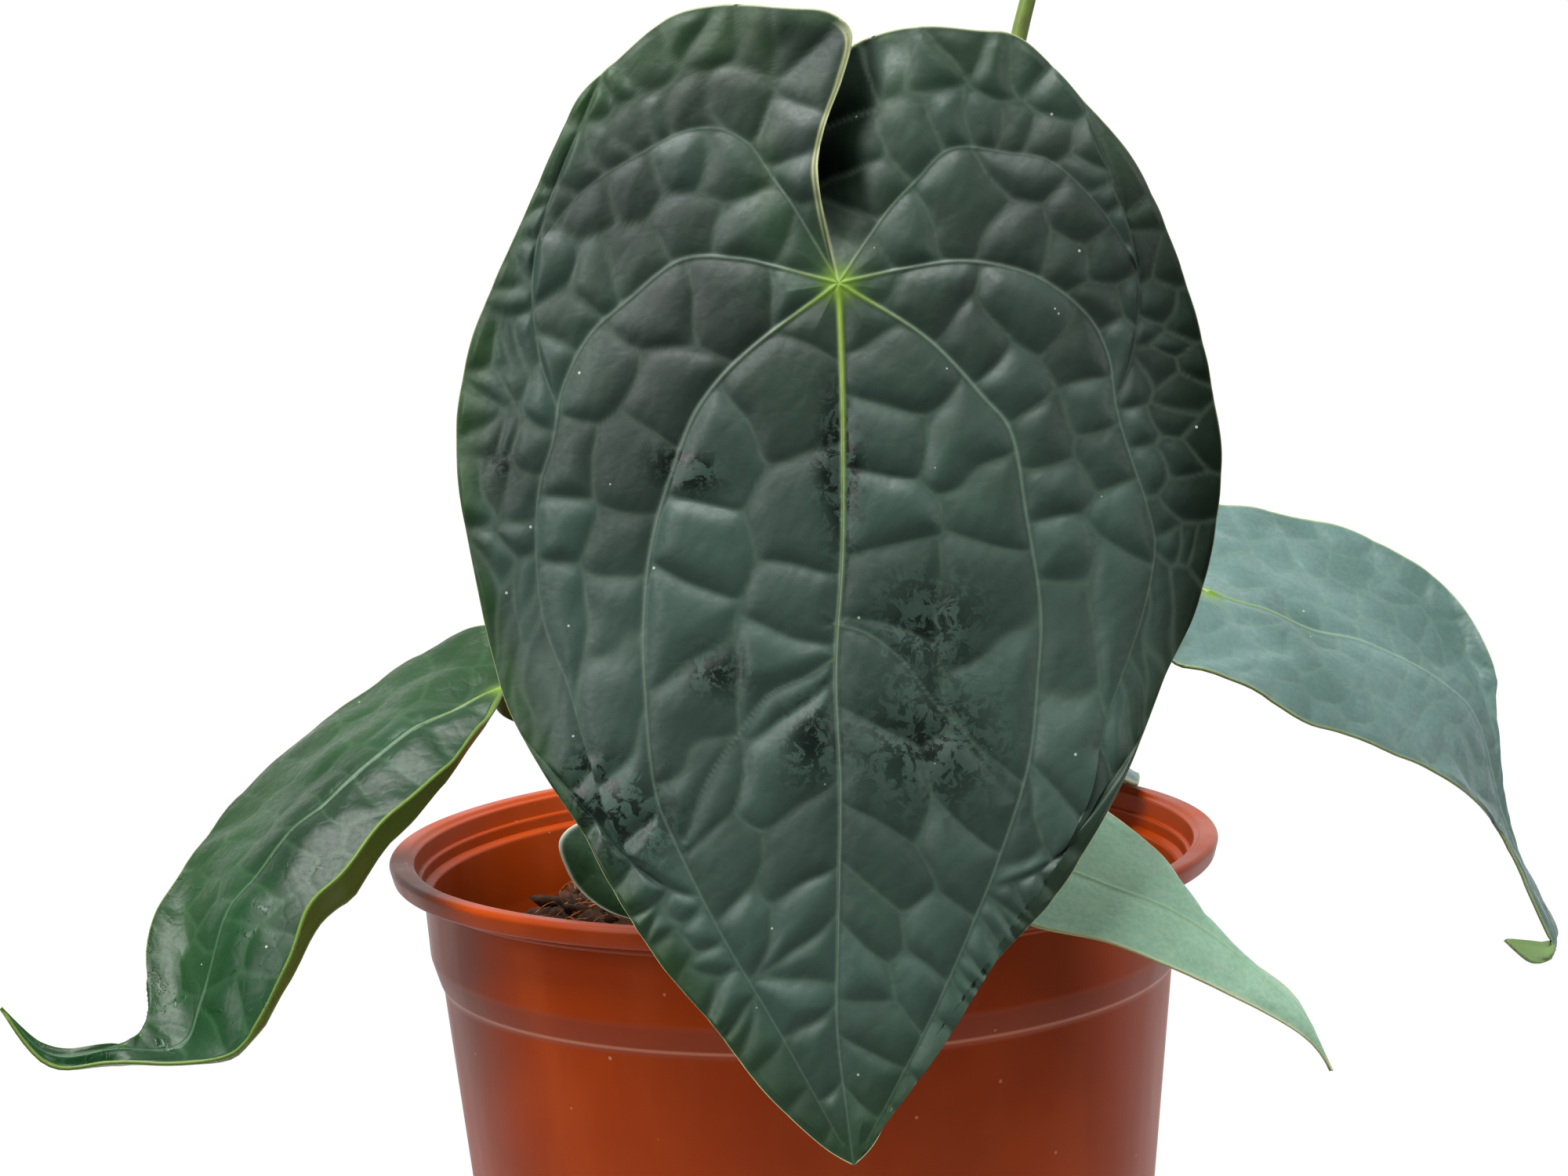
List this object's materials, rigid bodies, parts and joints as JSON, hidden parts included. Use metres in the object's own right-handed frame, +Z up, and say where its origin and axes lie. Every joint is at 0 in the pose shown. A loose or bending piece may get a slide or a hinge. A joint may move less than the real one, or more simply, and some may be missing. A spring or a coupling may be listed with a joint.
{
  "type": "potted anthurium",
  "caption": "Potted anthurium: velvety heart-shaped leaves on thin stalks and a slender flower spike, in a tapered plastic nursery pot with a flat lip.",
  "frame": {"origin": "centre of the pot's flat base, on the surface it stands on", "axes": "+Z up along the pot's axis; -Y towards the front, where the largest leaf hangs over the rim; +X to the right seen from the front"},
  "size_m": [0.3158, 0.194, 0.3971],
  "materials": {
    "pot_plastic": "satin terracotta",
    "growing_mix": "loose bark and coir",
    "bark": "rough bark",
    "stem": "ringed green-brown stem",
    "root": "corky root skin",
    "dry_sheath": "dry and papery",
    "leaf": "velvety dark green with pale veins",
    "stalk": "smooth green",
    "spathe": "satin green",
    "spadix": "finely pebbled"
  },
  "bodies": {
    "root": {"pot": "pot_plastic", "growing_mix": "growing_mix", "stem": "stem", "peduncle": "stalk", "spathe": "spathe", "spadix": "spadix", "leaf_front": "leaf", "leaf_left": "leaf", "leaf_right": "leaf", "leaf_lower_right": "leaf", "leaf_small": "leaf", "leaf_back": "leaf", "petiole_front": "stalk", "petiole_left": "stalk", "petiole_right": "stalk", "petiole_lower_right": "stalk", "petiole_small": "stalk", "petiole_back": "stalk", "bark_chip_1": "bark", "bark_chip_2": "bark", "bark_chip_3": "bark", "bark_chip_4": "bark", "bark_chip_5": "bark", "bark_chip_6": "bark", "bark_chip_7": "bark", "bark_chip_8": "bark", "bark_chip_9": "bark", "aerial_root_1": "root", "aerial_root_2": "root", "aerial_root_3": "root", "cataphyll_1": "dry_sheath", "cataphyll_2": "dry_sheath", "cataphyll_3": "dry_sheath"}
  },
  "joints": []
}
